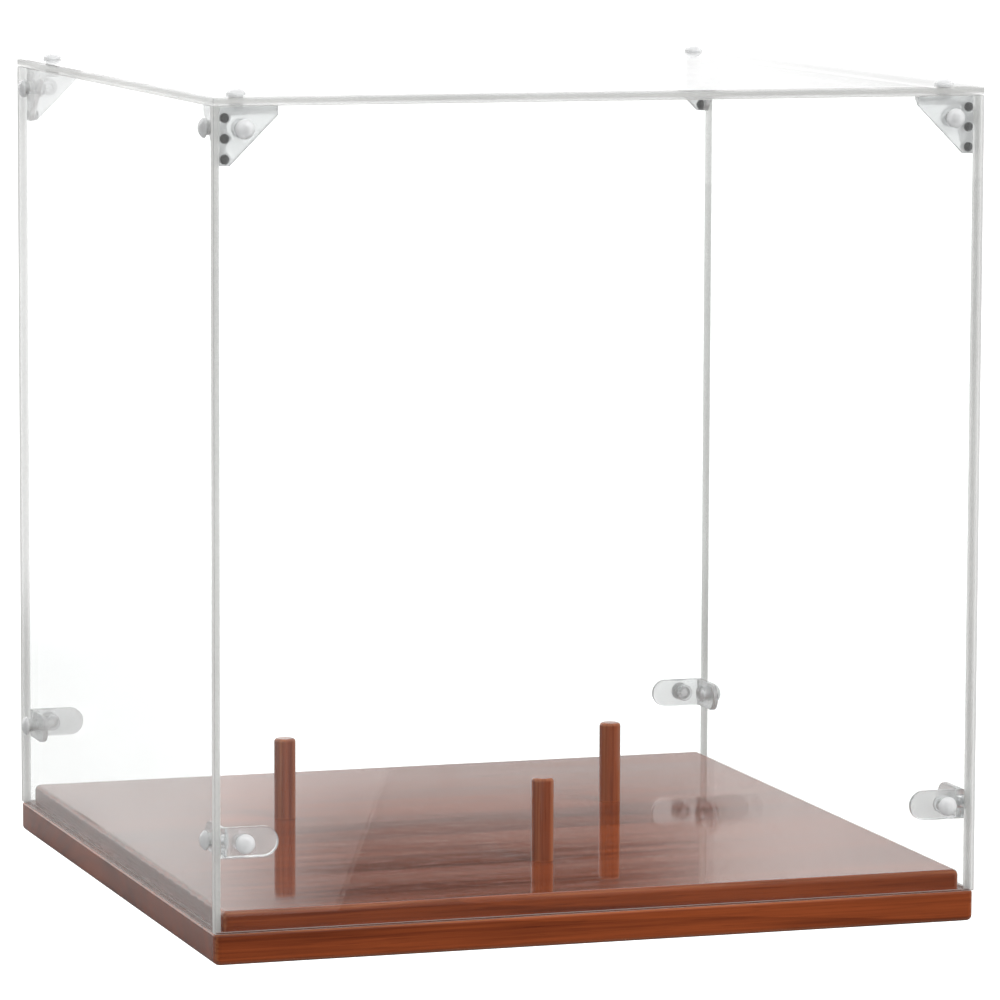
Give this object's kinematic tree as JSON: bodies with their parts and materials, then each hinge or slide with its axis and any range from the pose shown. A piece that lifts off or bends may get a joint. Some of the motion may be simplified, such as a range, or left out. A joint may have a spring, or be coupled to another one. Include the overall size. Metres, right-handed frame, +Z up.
{
  "type": "ball display case",
  "caption": "Clear box cover with corner brackets and edge clips, standing on a stepped wooden base with pegs that hold a ball.",
  "frame": {"origin": "middle of the footprint, on the surface that the felt pads stand on", "axes": "+Z up, front faces -Y, +X to the right seen from the front"},
  "size_m": [0.2848, 0.2848, 0.3013],
  "materials": {
    "stained_wood": "gloss",
    "peg_wood": "satin",
    "felt": "matte",
    "clear_sheet": "polished",
    "clear_moulding": "satin",
    "clear_rivet": "gloss"
  },
  "bodies": {
    "base": {"base_board": "stained_wood", "front_peg": "peg_wood", "right_rear_peg": "peg_wood", "left_rear_peg": "peg_wood", "front_left_pad": "felt", "front_right_pad": "felt", "back_right_pad": "felt", "back_left_pad": "felt"},
    "cover": {"top_panel": "clear_sheet", "front_panel": "clear_sheet", "back_panel": "clear_sheet", "left_panel": "clear_sheet", "right_panel": "clear_sheet", "front_left_corner_bracket": "clear_moulding", "front_left_bracket_studs": "clear_rivet", "front_left_bracket_caps": "clear_rivet", "front_left_edge_clip": "clear_moulding", "front_left_clip_studs": "clear_rivet", "front_left_clip_caps": "clear_rivet", "front_right_corner_bracket": "clear_moulding", "front_right_bracket_studs": "clear_rivet", "front_right_bracket_caps": "clear_rivet", "front_right_edge_clip": "clear_moulding", "front_right_clip_studs": "clear_rivet", "front_right_clip_caps": "clear_rivet", "back_right_corner_bracket": "clear_moulding", "back_right_bracket_studs": "clear_rivet", "back_right_bracket_caps": "clear_rivet", "back_right_edge_clip": "clear_moulding", "back_right_clip_studs": "clear_rivet", "back_right_clip_caps": "clear_rivet", "back_left_corner_bracket": "clear_moulding", "back_left_bracket_studs": "clear_rivet", "back_left_bracket_caps": "clear_rivet", "back_left_edge_clip": "clear_moulding", "back_left_clip_studs": "clear_rivet", "back_left_clip_caps": "clear_rivet"}
  },
  "joints": [
    {"name": "cover_lift", "type": "slide", "parent": "base", "child": "cover", "axis": [0, 0, 1], "range_m": [0, 0.27]}
  ]
}
